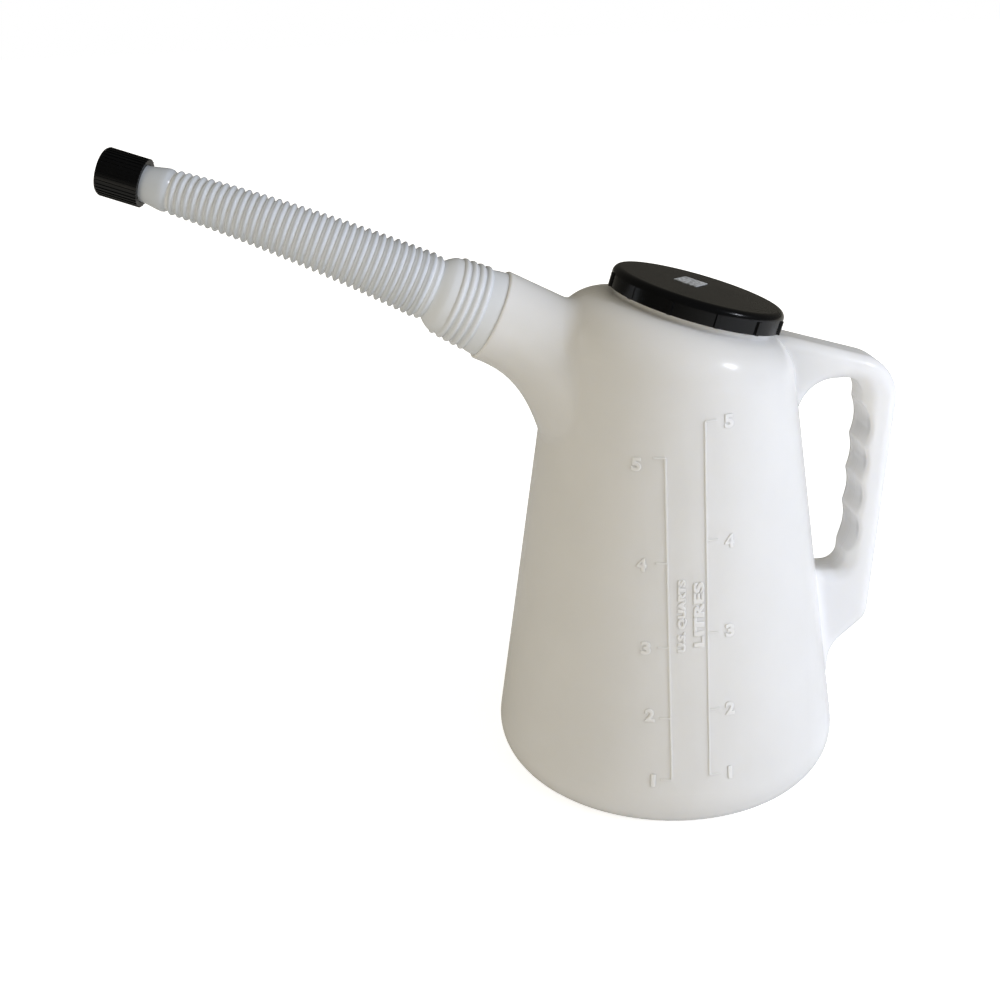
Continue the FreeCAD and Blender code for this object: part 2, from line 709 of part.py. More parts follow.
# ------------------------------------------------------------- check and write
PARTS = [jug, lid, seal, label, spout, washer, cap, liner]
doc.recompute()
for item in doc.Objects:
    if "Invalid" in item.State or "Error" in item.State:
        raise RuntimeError(f"{item.Label} was not computed")
for item in PARTS:
    shape = item.Shape
    if shape.isNull() or not shape.isValid() or len(shape.Solids) != 1:
        raise RuntimeError(f"{item.Label} is not one valid solid")
for item in PARTS:
    item.Shape.exportStep(f"parts/{item.Label}.step")
    print(item.Label, round(item.Shape.Volume / 1000, 1), "cm3")
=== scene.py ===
import json
import math

import bpy
from mathutils import Matrix, Vector


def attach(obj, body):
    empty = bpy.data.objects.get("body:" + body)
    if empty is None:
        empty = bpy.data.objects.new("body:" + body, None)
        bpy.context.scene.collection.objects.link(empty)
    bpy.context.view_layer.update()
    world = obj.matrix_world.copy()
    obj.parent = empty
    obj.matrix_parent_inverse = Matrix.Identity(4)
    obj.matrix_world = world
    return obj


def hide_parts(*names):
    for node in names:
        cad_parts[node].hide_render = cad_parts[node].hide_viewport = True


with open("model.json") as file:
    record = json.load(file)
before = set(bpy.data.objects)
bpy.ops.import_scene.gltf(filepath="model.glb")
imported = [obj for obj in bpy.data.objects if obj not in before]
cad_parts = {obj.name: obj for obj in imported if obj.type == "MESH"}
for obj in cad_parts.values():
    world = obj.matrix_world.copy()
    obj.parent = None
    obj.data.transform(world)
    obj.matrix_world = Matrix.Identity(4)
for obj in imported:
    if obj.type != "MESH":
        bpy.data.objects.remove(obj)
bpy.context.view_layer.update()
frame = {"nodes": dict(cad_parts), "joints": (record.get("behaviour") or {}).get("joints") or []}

# ------------------------------------------------------------------ the setting
# A plain white floor under a wide white sky. A large soft lamp stands to the right
# of the jug, with a small hard one above it, and a weak one on the jug's left.
# Only the small one is mirrored in the part.

camera_data = bpy.data.cameras.new("Camera")
camera_data.lens = 50.2326
camera_data.sensor_width = 36.0
camera = bpy.data.objects.new("Camera", camera_data)
camera.location = (-0.18195, -0.71999, 0.46305)
camera.rotation_euler = (math.radians(67.85907), math.radians(1.70895), math.radians(-7.51949))
bpy.context.scene.collection.objects.link(camera)
bpy.context.scene.camera = camera
bpy.context.scene.view_settings.view_transform = "Standard"

# The camera sees the sky white. The part is lit by a weaker, warmer one, and glossy
# faces mirror less of it still.
SKY_ON_PART = 0.38
SKY_IN_GLOSS = 0.09
sky = bpy.data.worlds.new("sky")
bpy.context.scene.world = sky
sky.use_nodes = True
sky_nodes = sky.node_tree.nodes
sky_links = sky.node_tree.links
sky_light = sky_nodes["Background"]
sky_light.inputs["Color"].default_value = (1.0, 0.935, 0.79, 1)
sky_seen = sky_nodes.new("ShaderNodeBackground")
sky_seen.inputs["Color"].default_value = (1, 1, 1, 1)
sky_seen.inputs["Strength"].default_value = 1.0
sky_rays = sky_nodes.new("ShaderNodeLightPath")
sky_wanted = sky_nodes.new("ShaderNodeMath")
sky_wanted.operation = "MAXIMUM"
sky_choice = sky_nodes.new("ShaderNodeMixShader")
sky_level = sky_nodes.new("ShaderNodeMapRange")
sky_level.inputs["To Min"].default_value = SKY_ON_PART
sky_level.inputs["To Max"].default_value = SKY_IN_GLOSS
sky_links.new(sky_rays.outputs["Is Glossy Ray"], sky_level.inputs["Value"])
sky_links.new(sky_level.outputs["Result"], sky_light.inputs["Strength"])
sky_links.new(sky_rays.outputs["Is Camera Ray"], sky_wanted.inputs[0])
sky_links.new(sky_rays.outputs["Is Transmission Ray"], sky_wanted.inputs[1])
sky_links.new(sky_wanted.outputs[0], sky_choice.inputs["Fac"])
sky_links.new(sky_light.outputs[0], sky_choice.inputs[1])
sky_links.new(sky_seen.outputs[0], sky_choice.inputs[2])
sky_links.new(sky_choice.outputs[0], sky_nodes["World Output"].inputs["Surface"])


def soft_lamp(name, power, size, place, aim, colour, glints):
    """A square lamp that shines from place towards aim, and is mirrored if glints is true."""
    data = bpy.data.lights.new(name, "AREA")
    data.energy = power
    data.size = size
    data.color = colour
    lamp = bpy.data.objects.new(name, data)
    lamp.location = place
    lamp.rotation_euler = (Vector(aim) - Vector(place)).to_track_quat("-Z", "Y").to_euler()
    lamp.visible_glossy = glints
    bpy.context.scene.collection.objects.link(lamp)


soft_lamp("window_right", 28.0, 1.6, (1.46, -0.93, 0.50), (0.0, 0.0, 0.12), (0.79, 0.85, 1.0), False)
soft_lamp("small_flash", 3.8, 0.11, (1.16, -0.68, 1.05), (0.0, 0.0, 0.25), (0.88, 0.92, 1.0), True)
soft_lamp("card_left", 3.2, 0.7, (-1.0, -0.85, 0.4), (0.0, 0.0, 0.2), (1.0, 0.91, 0.74), False)

bpy.ops.object.select_all(action="DESELECT")
bpy.ops.mesh.primitive_grid_add(x_subdivisions=2, y_subdivisions=2, size=12.0, location=(0, 0, 0))
floor = bpy.context.object
floor.name = "floor"

# The floor glows for the camera, more so away from the jug, so that it runs into
# the sky without an edge and still shows the jug's shadow.
floor_paint = bpy.data.materials.new("floor_paint")
floor_paint.use_nodes = True
nodes = floor_paint.node_tree.nodes
links = floor_paint.node_tree.links
nodes.clear()
floor_diffuse = nodes.new("ShaderNodeBsdfDiffuse")
floor_diffuse.inputs["Color"].default_value = (0.88, 0.88, 0.88, 1)
floor_place = nodes.new("ShaderNodeTexCoord")
floor_away = nodes.new("ShaderNodeVectorMath")
floor_away.operation = "LENGTH"
floor_fade = nodes.new("ShaderNodeMapRange")
floor_fade.inputs["From Min"].default_value = 0.25
floor_fade.inputs["From Max"].default_value = 1.1
floor_fade.inputs["To Min"].default_value = 0.72
floor_fade.inputs["To Max"].default_value = 1.0
floor_glow = nodes.new("ShaderNodeEmission")
floor_glow.inputs["Color"].default_value = (1, 1, 1, 1)
links.new(floor_place.outputs["Object"], floor_away.inputs[0])
links.new(floor_away.outputs["Value"], floor_fade.inputs["Value"])
links.new(floor_fade.outputs["Result"], floor_glow.inputs["Strength"])
floor_sum = nodes.new("ShaderNodeAddShader")
floor_choice = nodes.new("ShaderNodeMixShader")
floor_rays = nodes.new("ShaderNodeLightPath")
floor_seen = nodes.new("ShaderNodeMath")
floor_seen.operation = "MAXIMUM"
floor_out = nodes.new("ShaderNodeOutputMaterial")
links.new(floor_diffuse.outputs[0], floor_sum.inputs[0])
links.new(floor_glow.outputs[0], floor_sum.inputs[1])
links.new(floor_rays.outputs["Is Camera Ray"], floor_seen.inputs[0])
links.new(floor_rays.outputs["Is Transmission Ray"], floor_seen.inputs[1])
links.new(floor_seen.outputs[0], floor_choice.inputs["Fac"])
links.new(floor_diffuse.outputs[0], floor_choice.inputs[1])
links.new(floor_sum.outputs[0], floor_choice.inputs[2])
links.new(floor_choice.outputs[0], floor_out.inputs["Surface"])
floor.data.materials.append(floor_paint)

# --------------------------------------------------------------------- the jug
# One blown piece of natural polyethylene: milky, a little see-through, satin,
# with a faint orange-peel skin and a parting line where the mould's halves met.

NATURAL = (0.80, 0.795, 0.78, 1)
ARM_FROM = 0.050
ARM_TO = 0.062
# Between these two distances along X the jug's colour is painted whiter: a painted glow that stands in
# for light shining through the hollow handle's thin wall.
HANDLE_FROM = 0.066
HANDLE_TO = 0.096
SCUFF_SPREAD = 0.12
SAG_TO_PEEL = 5.0


def blown_skin_group():
    """Colour, roughness and normal of blown natural polyethylene."""
    group = bpy.data.node_groups.new("blown_skin", "ShaderNodeTree")
    face = group.interface
    face.new_socket("Colour", in_out="INPUT", socket_type="NodeSocketColor")
    face.new_socket("Cloudiness", in_out="INPUT", socket_type="NodeSocketFloat")
    face.new_socket("Roughness", in_out="INPUT", socket_type="NodeSocketFloat")
    face.new_socket("Peel Depth", in_out="INPUT", socket_type="NodeSocketFloat")
    face.new_socket("Seam Height", in_out="INPUT", socket_type="NodeSocketFloat")
    face.new_socket("Rounded Normal", in_out="INPUT", socket_type="NodeSocketVector")
    face.new_socket("Colour", in_out="OUTPUT", socket_type="NodeSocketColor")
    face.new_socket("Roughness", in_out="OUTPUT", socket_type="NodeSocketFloat")
    face.new_socket("Normal", in_out="OUTPUT", socket_type="NodeSocketVector")
    nodes = group.nodes
    links = group.links
    given = nodes.new("NodeGroupInput")
    out = nodes.new("NodeGroupOutput")
    place = nodes.new("ShaderNodeTexCoord")

    clouds = nodes.new("ShaderNodeTexNoise")
    clouds.inputs["Scale"].default_value = 22.0
    clouds.inputs["Detail"].default_value = 3.0
    links.new(place.outputs["Object"], clouds.inputs["Vector"])
    spread = nodes.new("ShaderNodeMapRange")
    spread.inputs["From Min"].default_value = 0.35
    spread.inputs["From Max"].default_value = 0.7
    links.new(clouds.outputs["Fac"], spread.inputs["Value"])
    milk = nodes.new("ShaderNodeMath")
    milk.operation = "MULTIPLY"
    links.new(spread.outputs["Result"], milk.inputs[0])
    links.new(given.outputs["Cloudiness"], milk.inputs[1])
    tint = nodes.new("ShaderNodeMix")
    tint.data_type = "RGBA"
    tint.inputs["B"].default_value = (0, 0, 0, 1)
    links.new(milk.outputs[0], tint.inputs["Factor"])
    links.new(given.outputs["Colour"], tint.inputs["A"])
    links.new(tint.outputs["Result"], out.inputs["Colour"])

    scuffs = nodes.new("ShaderNodeTexNoise")
    scuffs.inputs["Scale"].default_value = 160.0
    scuffs.inputs["Detail"].default_value = 4.0
    links.new(place.outputs["Object"], scuffs.inputs["Vector"])
    vary = nodes.new("ShaderNodeMath")
    vary.operation = "MULTIPLY_ADD"
    vary.inputs[1].default_value = SCUFF_SPREAD
    links.new(scuffs.outputs["Fac"], vary.inputs[0])
    links.new(given.outputs["Roughness"], vary.inputs[2])
    links.new(vary.outputs[0], out.inputs["Roughness"])

    peel = nodes.new("ShaderNodeTexNoise")
    peel.inputs["Scale"].default_value = 420.0
    peel.inputs["Detail"].default_value = 2.0
    links.new(place.outputs["Object"], peel.inputs["Vector"])
    sag = nodes.new("ShaderNodeTexNoise")
    sag.inputs["Scale"].default_value = 34.0
    sag.inputs["Detail"].default_value = 1.0
    links.new(place.outputs["Object"], sag.inputs["Vector"])
    both = nodes.new("ShaderNodeMath")
    both.operation = "MULTIPLY_ADD"
    both.inputs[1].default_value = SAG_TO_PEEL
    links.new(sag.outputs["Fac"], both.inputs[0])
    links.new(peel.outputs["Fac"], both.inputs[2])
    skin_high = nodes.new("ShaderNodeMath")
    skin_high.operation = "MULTIPLY"
    links.new(both.outputs[0], skin_high.inputs[0])
    links.new(given.outputs["Peel Depth"], skin_high.inputs[1])

    apart = nodes.new("ShaderNodeSeparateXYZ")
    links.new(place.outputs["Object"], apart.inputs["Vector"])
    aside = nodes.new("ShaderNodeMath")
    aside.operation = "ABSOLUTE"
    links.new(apart.outputs["Y"], aside.inputs[0])
    seam = nodes.new("ShaderNodeMapRange")
    seam.interpolation_type = "SMOOTHSTEP"
    seam.inputs["From Min"].default_value = 0.0001
    seam.inputs["From Max"].default_value = 0.0006
    seam.inputs["To Min"].default_value = 1.0
    seam.inputs["To Max"].default_value = 0.0
    links.new(aside.outputs[0], seam.inputs["Value"])
    high = nodes.new("ShaderNodeMath")
    high.operation = "MULTIPLY_ADD"
    links.new(seam.outputs["Result"], high.inputs[0])
    links.new(given.outputs["Seam Height"], high.inputs[1])
    links.new(skin_high.outputs[0], high.inputs[2])

    bump = nodes.new("ShaderNodeBump")
    bump.inputs["Strength"].default_value = 1.0
    bump.inputs["Distance"].default_value = 1.0
    links.new(high.outputs[0], bump.inputs["Height"])
    links.new(given.outputs["Rounded Normal"], bump.inputs["Normal"])
    links.new(bump.outputs["Normal"], out.inputs["Normal"])
    return group


blown_skin = blown_skin_group()


def milky_plastic(name, colour, valley_light_colour, handle_painted_light, roughness, peel, seam, edges, inner, deep):
    """Natural polyethylene, lit from inside its wall by a share inner, to a depth deep.

    Its folds are painted in a second, paler colour: painted light that fills the
    shade falling in them. The hollow handle is painted whiter by a given share: a
    painted glow that stands in for light shining through its thin wall. peel and
    seam are the heights of its orange peel and parting line.
    Its edges are rounded off by two radii, on the jug and on the handle.
    """
    paint = bpy.data.materials.new(name)
    paint.use_nodes = True
    nodes = paint.node_tree.nodes
    links = paint.node_tree.links
    shader = nodes["Principled BSDF"]
    skin = nodes.new("ShaderNodeGroup")
    skin.node_tree = blown_skin
    skin.inputs["Cloudiness"].default_value = 0.03
    skin.inputs["Roughness"].default_value = roughness
    skin.inputs["Peel Depth"].default_value = peel
    skin.inputs["Seam Height"].default_value = seam
    place = nodes.new("ShaderNodeTexCoord")
    apart = nodes.new("ShaderNodeSeparateXYZ")
    # Painted light: the hollow handle is painted whiter, a painted glow for light shining through its
    # thin wall.
    handle_light_mask = nodes.new("ShaderNodeMapRange")
    handle_light_mask.inputs["From Min"].default_value = HANDLE_FROM
    handle_light_mask.inputs["From Max"].default_value = HANDLE_TO
    handle_light_mask.inputs["To Max"].default_value = handle_painted_light
    lit = nodes.new("ShaderNodeMix")
    lit.data_type = "RGBA"
    lit.inputs["B"].default_value = (1, 1, 1, 1)
    # Painted light: the valleys take the paler second colour, painted light that fills the shade
    # falling in them.
    valley_light = nodes.new("ShaderNodeAttribute")
    valley_light.attribute_name = "valley_light"
    valley_lit_colour = nodes.new("ShaderNodeMix")
    valley_lit_colour.data_type = "RGBA"
    valley_lit_colour.inputs["A"].default_value = colour
    valley_lit_colour.inputs["B"].default_value = valley_light_colour
    soften = nodes.new("ShaderNodeMapRange")
    soften.inputs["From Min"].default_value = ARM_FROM
    soften.inputs["From Max"].default_value = ARM_TO
    soften.inputs["To Min"].default_value = edges[0]
    soften.inputs["To Max"].default_value = edges[1]
    rounded = nodes.new("ShaderNodeBevel")
    rounded.samples = 8
    links.new(place.outputs["Object"], apart.inputs["Vector"])
    links.new(apart.outputs["X"], handle_light_mask.inputs["Value"])
    links.new(valley_light.outputs["Fac"], valley_lit_colour.inputs["Factor"])
    links.new(valley_lit_colour.outputs["Result"], lit.inputs["A"])
    links.new(handle_light_mask.outputs["Result"], lit.inputs["Factor"])
    links.new(lit.outputs["Result"], skin.inputs["Colour"])
    links.new(apart.outputs["X"], soften.inputs["Value"])
    links.new(soften.outputs["Result"], rounded.inputs["Radius"])
    links.new(rounded.outputs["Normal"], skin.inputs["Rounded Normal"])
    links.new(skin.outputs["Colour"], shader.inputs["Base Color"])
    links.new(skin.outputs["Roughness"], shader.inputs["Roughness"])
    links.new(skin.outputs["Normal"], shader.inputs["Normal"])
    shader.inputs["IOR"].default_value = 1.5
    shader.inputs["Subsurface Weight"].default_value = inner
    shader.inputs["Subsurface Radius"].default_value = (1.0, 0.95, 0.85)
    shader.inputs["Subsurface Scale"].default_value = deep
    return paint


# The jug's hollow handle is painted whiter by this share: painted light for light shining through its
# thin wall.
jug_plastic = milky_plastic(
    "natural_polyethylene", NATURAL, NATURAL, handle_painted_light=0.75, roughness=0.16, peel=0.000012, seam=0.00006,
    edges=(0.0003, 0.0040), inner=0.6, deep=0.003,
)


def paint_node(name, material):
    """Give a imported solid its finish."""
    item = frame["nodes"][name]
    item.data.materials.clear()
    item.data.materials.append(material)


paint_node("jug_body", jug_plastic)

# ------------------------------------------------------------ the scale's words
# Numbers and unit words stand 0.4 mm proud of the jug's front wall, because they
# are cut into the blowing mould. They are in the same plastic but painted a little
# paler, partly for the whiter look of thicker plastic and partly as a painted
# highlight for the light their raised faces catch.

RAISED = (0.87, 0.865, 0.85, 1)
raised_plastic = milky_plastic(
    "raised_polyethylene", RAISED, RAISED, handle_painted_light=0.0, roughness=0.3, peel=0.0, seam=0.0,
    edges=(0.0003, 0.0003), inner=0.6, deep=0.001,
)
CONE_FOOT = 0.1025
CONE_SLOPE = 0.145


def raised_text(name, words, wide, high, across, up, turn):
    """Letters wide and high on the cone's wall, centred at X across and Z up."""
    bpy.ops.object.select_all(action="DESELECT")
    bpy.ops.object.text_add(location=(0, 0, 0))
    item = bpy.context.object
    item.name = name
    item.data.body = words
    item.data.align_x = "CENTER"
    item.data.align_y = "CENTER"
    item.data.size = high
    item.data.offset = 0.0001
    item.data.extrude = 0.0001
    item.data.bevel_depth = 0.0003
    item.data.bevel_resolution = 2
    item.data.resolution_u = 6
    bpy.ops.object.convert(target="MESH")
    item.scale = (wide / item.dimensions.x, high / item.dimensions.y, 1)
    bpy.ops.object.transform_apply(location=False, rotation=False, scale=True)
    bpy.ops.object.origin_set(type="ORIGIN_GEOMETRY", center="BOUNDS")
    radius = CONE_FOOT - CONE_SLOPE * up
    stand = Matrix.Rotation(math.asin(across / radius), 4, "Z")
    stand = stand @ Matrix.Rotation(math.pi / 2 - math.atan(CONE_SLOPE), 4, "X")
    place = Matrix.Translation((across, -math.sqrt(radius ** 2 - across ** 2), up))
    item.matrix_world = place @ stand @ Matrix.Rotation(turn, 4, "Z")
    bpy.ops.object.transform_apply(location=True, rotation=True, scale=True)
    bpy.ops.object.shade_smooth_by_angle(angle=math.radians(50))
    item.data.materials.append(raised_plastic)
    return item


def lettering(name, letters):
    """Join one scale's letters and fix them to the jug."""
    bpy.ops.object.select_all(action="DESELECT")
    for letter in letters:
        letter.select_set(True)
    bpy.context.view_layer.objects.active = letters[0]
    bpy.ops.object.join()
    letters[0].name = name
    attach(letters[0], "jug")


NUMBER_WIDE = 0.0053
NUMBER_HIGH = 0.0074
ONE_WIDE = 0.0024


def numbers(unit, heights, first, step):
    """The numbers from one upwards at their heights, in a column that leans by step a number."""
    column = []
    for number, up in enumerate(heights, start=1):
        wide = ONE_WIDE if number == 1 else NUMBER_WIDE
        across = first + step * (number - 1)
        column.append(raised_text(f"{unit}_{number}", str(number), wide, NUMBER_HIGH, across, up, 0.0))
    return column


LITRE_HEIGHTS = (0.0385, 0.0751, 0.1186, 0.1669, 0.2295)
QUART_HEIGHTS = (0.0359, 0.0731, 0.1105, 0.1557, 0.2085)
litre_word = raised_text("litre_word", "LITRES", 0.036, 0.0058, -0.0029, 0.129, math.pi / 2)
quart_word = raised_text("quart_word", "U.S. QUARTS", 0.040, 0.0048, -0.0117, 0.1285, math.pi / 2)
lettering("litre_lettering", [litre_word] + numbers("litre", LITRE_HEIGHTS, 0.0133, 0.0003))
lettering("quart_lettering", [quart_word] + numbers("quart", QUART_HEIGHTS, -0.02845, -0.00105))

# --------------------------------------------------------------------- the lid
# One black polypropylene moulding with grip ribs round its skirt, screwed on the
# jug's filler. Its finish is satin with a fine grain.

DUST_PALER = 1.5
DUST_SPREAD = 0.12


def moulded_black(name, colour, roughness):
    """Moulded black plastic or rubber with a fine grain and a little pale dust."""
    paint = bpy.data.materials.new(name)
    paint.use_nodes = True
    nodes = paint.node_tree.nodes
    links = paint.node_tree.links
    shader = nodes["Principled BSDF"]
    place = nodes.new("ShaderNodeTexCoord")
    grain = nodes.new("ShaderNodeTexNoise")
    grain.inputs["Scale"].default_value = 900.0
    grain.inputs["Detail"].default_value = 2.0
    links.new(place.outputs["Object"], grain.inputs["Vector"])
    dust = nodes.new("ShaderNodeTexNoise")
    dust.inputs["Scale"].default_value = 45.0
    dust.inputs["Detail"].default_value = 5.0
    links.new(place.outputs["Object"], dust.inputs["Vector"])
    tone = nodes.new("ShaderNodeValToRGB")
    tone.color_ramp.elements[0].position = 0.35
    tone.color_ramp.elements[0].color = colour + (1,)
    tone.color_ramp.elements[1].position = 0.75
    tone.color_ramp.elements[1].color = tuple(part * DUST_PALER for part in colour) + (1,)
    links.new(dust.outputs["Fac"], tone.inputs["Fac"])
    links.new(tone.outputs["Color"], shader.inputs["Base Color"])
    vary = nodes.new("ShaderNodeMath")
    vary.operation = "MULTIPLY_ADD"
    vary.inputs[1].default_value = DUST_SPREAD
    vary.inputs[2].default_value = roughness
    links.new(dust.outputs["Fac"], vary.inputs[0])
    links.new(vary.outputs[0], shader.inputs["Roughness"])
    bump = nodes.new("ShaderNodeBump")
    bump.inputs["Strength"].default_value = 0.35
    bump.inputs["Distance"].default_value = 0.00004
    links.new(grain.outputs["Fac"], bump.inputs["Height"])
    links.new(bump.outputs["Normal"], shader.inputs["Normal"])
    shader.inputs["Specular IOR Level"].default_value = 0.3
    return paint


black_plastic = moulded_black("black_polypropylene", (0.0018, 0.0021, 0.0026), 0.15)
paint_node("filler_lid", black_plastic)

# -------------------------------------------------------------- the lid's seal
# A flat ring of black rubber, cut from sheet and pressed into the lid, so that
# the filler's rim closes against it.

seal_rubber = moulded_black("seal_rubber", (0.03, 0.03, 0.03), 0.6)
paint_node("lid_seal", seal_rubber)

# ----------------------------------------------------------- the lid's sticker
# A small white paper sticker, glued flat on top of the lid. Its print is rubbed
# to a grey smudge.


def white_sheet(name, colour, smudge):
    """White paper or foam, whose colour is multiplied by smudge in blotches."""
    paint = bpy.data.materials.new(name)
    paint.use_nodes = True
    nodes = paint.node_tree.nodes
    links = paint.node_tree.links
    shader = nodes["Principled BSDF"]
    place = nodes.new("ShaderNodeTexCoord")
    fibre = nodes.new("ShaderNodeTexNoise")
    fibre.inputs["Scale"].default_value = 520.0
    fibre.inputs["Detail"].default_value = 3.0
    links.new(place.outputs["Object"], fibre.inputs["Vector"])
    tone = nodes.new("ShaderNodeValToRGB")
    tone.color_ramp.elements[0].position = 0.42
    tone.color_ramp.elements[0].color = tuple(part * smudge for part in colour) + (1,)
    tone.color_ramp.elements[1].position = 0.58
    tone.color_ramp.elements[1].color = colour + (1,)
    links.new(fibre.outputs["Fac"], tone.inputs["Fac"])
    links.new(tone.outputs["Color"], shader.inputs["Base Color"])
    shader.inputs["Roughness"].default_value = 0.55
    return paint


white_paper = white_sheet("white_sticker", (0.62, 0.64, 0.66), 0.5)
paint_node("lid_label", white_paper)

# ------------------------------------------------------------------- the spout
# One blown piece of softer polyethylene, screwed on the neck by its cuff. It has
# a screw ridge round the cuff, a corrugated run that stays in the bend that it is
# given, and a plain tip. Its heights count from its first ring.

HOSE_BIG = 0.01815
HOSE_SMALL = 0.01155
WALL = 0.0010
RING_COUNT = 36
RING_PITCH = 0.003922
RING_RUN = RING_PITCH * (RING_COUNT - 1)
RING_GROOVE = 0.00215


def lathe(name, outline, steps):
    """Draw an outline of radius and height in edit mode and spin it about Z."""
    bpy.ops.object.select_all(action="DESELECT")
    bpy.ops.mesh.primitive_plane_add(size=0.001, location=(0, 0, 0))
    item = bpy.context.object
    item.name = name
    bpy.ops.object.mode_set(mode="EDIT")
    bpy.ops.mesh.select_all(action="SELECT")
    bpy.ops.mesh.merge(type="CENTER")
    last = Vector((0, 0, 0))
    for radius, height in outline:
        point = Vector((radius, 0, height))
        if (radius, height) == outline[0]:
            bpy.ops.transform.translate(value=point - last)
        else:
            bpy.ops.mesh.extrude_vertices_move(TRANSFORM_OT_translate={"value": point - last})
        last = point
    bpy.ops.mesh.select_all(action="SELECT")
    bpy.ops.mesh.spin(steps=steps, angle=math.tau, center=(0, 0, 0), axis=(0, 0, 1))
    bpy.ops.mesh.select_all(action="SELECT")
    bpy.ops.mesh.remove_doubles(threshold=0.00001)
    bpy.ops.mesh.normals_make_consistent(inside=False)
    bpy.ops.object.mode_set(mode="OBJECT")
    bpy.ops.object.shade_smooth_by_angle(angle=math.radians(40))
    return item


def ring_radius(number):
    """Crest radius of the hose, which tapers towards its tip."""
    return HOSE_BIG + number / (RING_COUNT - 1) * (HOSE_SMALL - HOSE_BIG)


# The cuff widens to a lip by the neck, and is drawn in at its other end. The lip
# sinks a quarter of a millimetre into the neck's end face, so that no gap shows.
CUFF_LIP = -0.03623
outside = [
    (0.0202, CUFF_LIP), (0.0231, CUFF_LIP), (0.02335, -0.0360), (0.0234, -0.0350), (0.0232, -0.0337),
    (0.0228, -0.0312), (0.0223, -0.0294), (0.0220, -0.0282), (0.0206, -0.0112), (0.0203, -0.0086),
    (0.0197, -0.0072), (0.01875, -0.0057), (0.0178, -0.0044), (0.0168, -0.0033), (0.0158, -0.0022),
]
inside = [
    (0.0201, -0.0350), (0.0201, -0.0122), (0.0195, -0.0121), (0.0191, -0.0086), (0.0175, -0.0057),
    (0.0147, -0.0022),
]

# Each ring has a round crest, part of a parabola, and a sharp valley after it.
# The first one is lower, and its near side runs into the cuff.
CREST_PHASES = (-0.36, -0.24, -0.12, 0.0, 0.12, 0.24, 0.36)
CREST_HALF = 0.45
FIRST_RING = 0.0175
for ring in range(RING_COUNT):
    crest = ring_radius(ring) if ring else FIRST_RING
    phases = CREST_PHASES if ring else CREST_PHASES[1:]
    root = crest - RING_GROOVE
    for phase in phases:
        height = 1 - (phase / CREST_HALF) ** 2
        outside.append((root + (crest - root) * height, (ring + phase) * RING_PITCH))
    inside.append((crest - WALL, ring * RING_PITCH))
    if ring < RING_COUNT - 1:
        valley = ring_radius(ring + 0.5) - RING_GROOVE
        outside.append((valley, (ring + 0.5) * RING_PITCH))
        inside.append((valley - WALL, (ring + 0.5) * RING_PITCH))

# The tip swells once and then runs straight into the cap.
TIP_START = 0.0022
TIP_END = 0.0372
TIP_OUTSIDE = (
    (0.0095, TIP_START), (0.0103, 0.0032), (0.0110, 0.0043), (0.0112, 0.0056), (0.0109, 0.0080),
    (0.0101, 0.0120), (0.0095, 0.0155), (0.0094, 0.0160), (0.0094, TIP_END),
)
TIP_INSIDE = (
    (0.0084, TIP_START), (0.0100, 0.0052), (0.0089, 0.0120), (0.0082, 0.0160), (0.0082, TIP_END),
)
outside += [(radius, RING_RUN + height) for radius, height in TIP_OUTSIDE]
inside += [(radius, RING_RUN + height) for radius, height in TIP_INSIDE]
LATHE_STEPS = 72
spout = lathe("spout_hose", outside + inside[::-1] + [outside[0]], LATHE_STEPS)

# This attribute marks where light is painted: it goes from 0 on a crest to 1 in a
# valley, and a valley takes the paler colour, painted light that fills the shade
# between the rings. It is even on the cuff and on the tip.
CUFF_TOP = -0.0015
CUFF_VALLEY_SHARE = 0.6
valley_light = spout.data.attributes.new("valley_light", "FLOAT", "POINT")
for vertex in spout.data.vertices:
    ring = min(max(vertex.co.z / RING_PITCH, 0.0), RING_COUNT - 1.0)
    below = ring_radius(ring) - math.hypot(vertex.co.x, vertex.co.y)
    valley_depth = min(max(below / RING_GROOVE, 0.0), 1.0) if vertex.co.z < RING_RUN + TIP_START else 0.0
    valley_light.data[vertex.index].value = valley_depth if vertex.co.z > CUFF_TOP else CUFF_VALLEY_SHARE

# Only the corrugated run is bent.
SPOUT_BEND = math.radians(17.1)
SPOUT_TALL = RING_RUN + TIP_END - CUFF_LIP
bpy.ops.object.select_all(action="DESELECT")
spout.select_set(True)
bpy.context.view_layer.objects.active = spout
bend = spout.modifiers.new("bend", "SIMPLE_DEFORM")
bend.deform_method = "BEND"
bend.deform_axis = "Y"
bend.angle = SPOUT_BEND
bend.limits = (-CUFF_LIP / SPOUT_TALL, (RING_RUN - CUFF_LIP) / SPOUT_TALL)
bpy.ops.object.modifier_apply(modifier="bend")

# The screw ridge is one round bead wound up the cuff, narrower towards the hose
# and thinned out at both ends.
RIDGE_PITCH = 0.0042
RIDGE_TURNS = 4.22
RIDGE_START = -0.0281
RIDGE_FROM = math.radians(26.7)
RIDGE_TAPER = -0.083
BEAD_STEPS = 72
BEAD_SIDES = 12
BEAD_RADIUS = 0.0016
BEAD_MIDDLE = 0.0217
BEAD_BACK = 0.35
BEAD_SINK = 0.0011
FADE_STEPS = 9
bpy.ops.object.select_all(action="DESELECT")
bpy.ops.mesh.primitive_circle_add(
    vertices=BEAD_SIDES, radius=BEAD_RADIUS, location=(BEAD_MIDDLE, 0, 0), rotation=(math.pi / 2, 0, 0)
)
bead = bpy.context.object
bead.name = "cuff_ridge"
bpy.ops.object.transform_apply(location=True, rotation=True, scale=True)
bpy.ops.object.mode_set(mode="EDIT")
bpy.ops.mesh.select_mode(type="VERT")
bpy.ops.mesh.select_all(action="DESELECT")
bpy.ops.object.mode_set(mode="OBJECT")
for vertex in bead.data.vertices:
    vertex.select = vertex.co.x < BEAD_MIDDLE - 0.00001
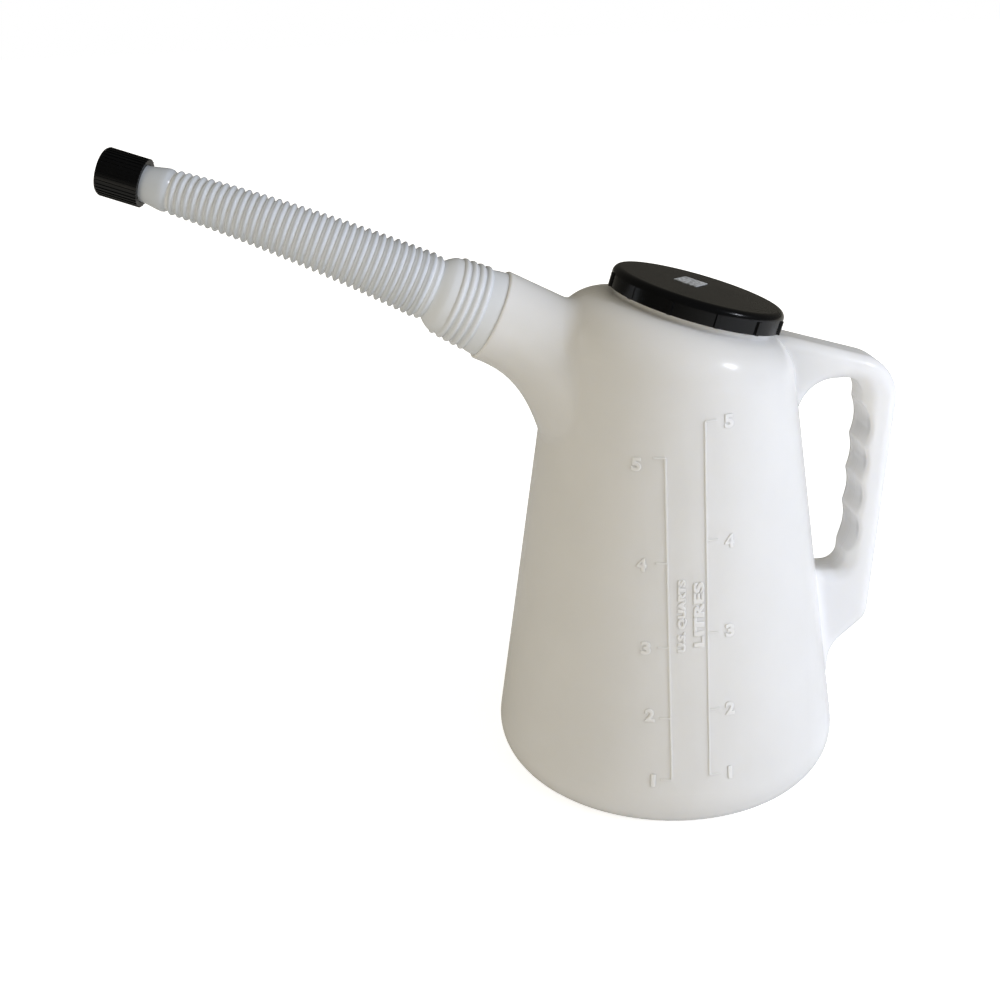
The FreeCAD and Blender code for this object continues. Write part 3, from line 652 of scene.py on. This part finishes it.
bpy.ops.object.mode_set(mode="EDIT")
bpy.ops.transform.resize(value=(BEAD_BACK, 1, 1), center_override=(BEAD_MIDDLE, 0, 0))
bpy.ops.object.mode_set(mode="OBJECT")
# The ridge takes the cuff's even share of the painted valley light.
bead_valley_light = bead.data.attributes.new("valley_light", "FLOAT", "POINT")
for value in bead_valley_light.data:
    value.value = CUFF_VALLEY_SHARE
wind = bead.modifiers.new("wind", "SCREW")
wind.axis = "Z"
wind.angle = math.tau * RIDGE_TURNS
wind.screw_offset = RIDGE_PITCH * RIDGE_TURNS
wind.steps = round(BEAD_STEPS * RIDGE_TURNS)
wind.render_steps = wind.steps
bpy.ops.object.modifier_apply(modifier="wind")
narrow = bead.modifiers.new("narrow", "SIMPLE_DEFORM")
narrow.deform_method = "TAPER"
narrow.deform_axis = "Z"
narrow.factor = RIDGE_TAPER
bpy.ops.object.modifier_apply(modifier="narrow")
bpy.ops.object.mode_set(mode="EDIT")
bpy.ops.mesh.select_mode(type="VERT")
last_loop = len(bead.data.vertices) // BEAD_SIDES - 1
for step in range(FADE_STEPS):
    for loop in (step, last_loop - step):
        bpy.ops.mesh.select_all(action="DESELECT")
        bpy.ops.object.mode_set(mode="OBJECT")
        for vertex in bead.data.vertices:
            vertex.select = vertex.index // BEAD_SIDES == loop
        chosen = [vertex.co for vertex in bead.data.vertices if vertex.select]
        middle = sum(chosen, Vector()) / len(chosen)
        inward = Vector((middle.x, middle.y, 0)).normalized() * -BEAD_SINK
        bpy.ops.object.mode_set(mode="EDIT")
        keep = (step + 1) / (FADE_STEPS + 1)
        bpy.ops.transform.resize(value=(keep, keep, keep), center_override=middle + inward)
bpy.ops.mesh.select_all(action="SELECT")
bpy.ops.mesh.normals_make_consistent(inside=False)
bpy.ops.object.mode_set(mode="OBJECT")
bpy.ops.object.shade_smooth()
bead.matrix_world = Matrix.Translation((0, 0, RIDGE_START)) @ Matrix.Rotation(RIDGE_FROM, 4, "Z")
bpy.ops.object.transform_apply(location=True, rotation=True, scale=True)
spout.select_set(True)
bpy.context.view_layer.objects.active = spout
bpy.ops.object.join()

# The spout stands on the axis of its screw, with its first ring a given way out
# from the neck's end face, and its bend is turned towards the back of the jug.
screws = {joint["name"]: joint for joint in frame["joints"]}
NECK_AXIS = Vector(screws["spout_turn"]["axis"])
NECK_FACE = Vector(screws["spout_turn"]["pos_m"])
FIRST_RING_OUT = 0.0360
BEND_ROLL = math.radians(90 + 33.5)
spout_place = Matrix.Translation(NECK_FACE + NECK_AXIS * FIRST_RING_OUT)
spout_place = spout_place @ Matrix.Rotation(math.asin(NECK_AXIS.z) - math.pi / 2, 4, "Y")
spout.matrix_world = spout_place @ Matrix.Rotation(BEND_ROLL, 4, "Z")
bpy.ops.object.transform_apply(location=True, rotation=True, scale=True)

# The paler second colour is painted into the hose's valleys: painted light that fills the shade
# between its rings.
SMOKY = (0.57, 0.605, 0.65, 1)
SMOKY_VALLEY_LIGHT = (0.88, 0.90, 0.92, 1)
spout_plastic = milky_plastic(
    "soft_polyethylene", SMOKY, SMOKY_VALLEY_LIGHT, handle_painted_light=0.0, roughness=0.14, peel=0.000006, seam=0.0,
    edges=(0.0010, 0.0010), inner=0.0, deep=0.001,
)
spout.data.materials.clear()
spout.data.materials.append(spout_plastic)
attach(spout, "spout")
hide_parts("flexible_spout")

# ---------------------------------------------------------- the spout's washer
# A flat ring of black rubber between the end of the jug's spigot and the inside
# of the cuff, held by the cuff's screw.

paint_node("spout_washer", seal_rubber)

# --------------------------------------------------------------------- the cap
# A small cap with fine ribs round it, moulded of the lid's black polypropylene,
# screwed on the spout's tip.

paint_node("spout_cap", black_plastic)

# ------------------------------------------------------------- the cap's liner
# A thin disc of white foam, cut from sheet and pressed into the cap, that closes
# the tip's end.

white_foam = white_sheet("white_foam", (0.78, 0.79, 0.8), 0.94)
paint_node("cap_liner", white_foam)
